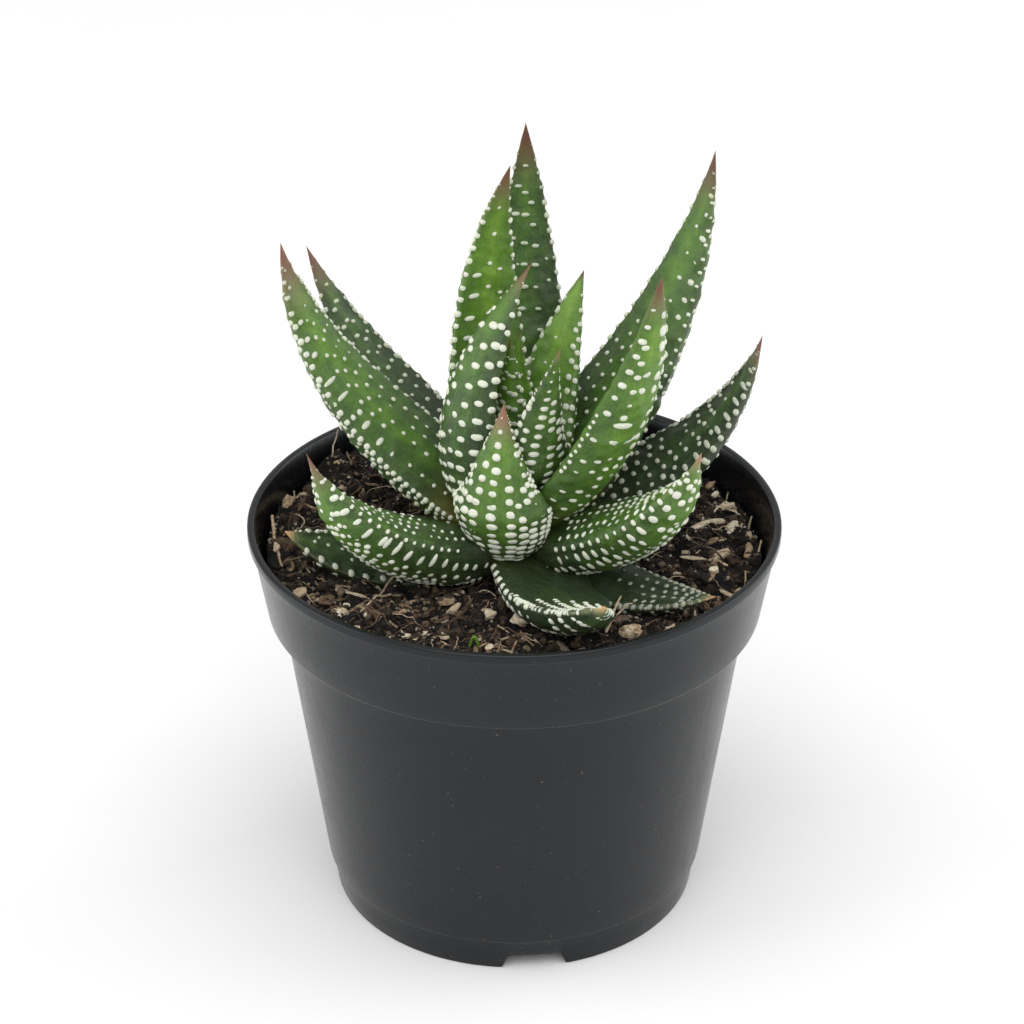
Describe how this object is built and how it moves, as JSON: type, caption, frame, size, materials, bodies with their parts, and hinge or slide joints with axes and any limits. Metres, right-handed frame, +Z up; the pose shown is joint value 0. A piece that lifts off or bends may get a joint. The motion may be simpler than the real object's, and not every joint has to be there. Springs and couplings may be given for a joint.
{
  "type": "potted haworthia",
  "caption": "Rosette of thick pointed succulent leaves with raised white tubercles, standing in peat and bark mix in a round tapered plastic nursery pot.",
  "frame": {"origin": "middle of the pot's foot, at the level it stands on", "axes": "+Z up along the pot's axis, -Y the front that the picture shows, +X to its right"},
  "size_m": [0.105, 0.105, 0.1579],
  "materials": {
    "pot_plastic": "dark grey injection-moulded plastic, dusty, with a low sheen",
    "soil_mix": "dark brown crumbly peat and bark mix, matt",
    "stem_tissue": "pale yellow-green plant tissue, matt",
    "leaf_green": "dark green firm leaf skin with low sheen, white raised tubercles and red-brown tips",
    "bark": "brown bark chips, rough",
    "perlite": "cream porous grains, rough"
  },
  "bodies": {
    "root": {"pot": "pot_plastic", "soil": "soil_mix", "stem": "stem_tissue", "leaf_centre_left": "leaf_green", "leaf_centre_right": "leaf_green", "leaf_front_left": "leaf_green", "leaf_front_right": "leaf_green", "leaf_front_right_young": "leaf_green", "leaf_front_short": "leaf_green", "leaf_heart_front": "leaf_green", "leaf_heart_rear": "leaf_green", "leaf_left_rear": "leaf_green", "leaf_low_left": "leaf_green", "leaf_low_right": "leaf_green", "leaf_rear_low": "leaf_green", "leaf_rear_low_left": "leaf_green", "leaf_rear_low_right": "leaf_green", "leaf_rear_tall": "leaf_green", "leaf_right_dark": "leaf_green", "leaf_soil_front": "leaf_green", "leaf_soil_left": "leaf_green", "leaf_soil_right": "leaf_green", "leaf_tall_left": "leaf_green", "leaf_tall_right": "leaf_green", "bark_chip_front": "bark", "bark_chip_front_left": "bark", "bark_flake": "bark", "bark_stick": "bark", "pebble_rear_left": "perlite", "perlite_front_right": "perlite", "perlite_left": "perlite", "perlite_right": "perlite"}
  },
  "joints": []
}
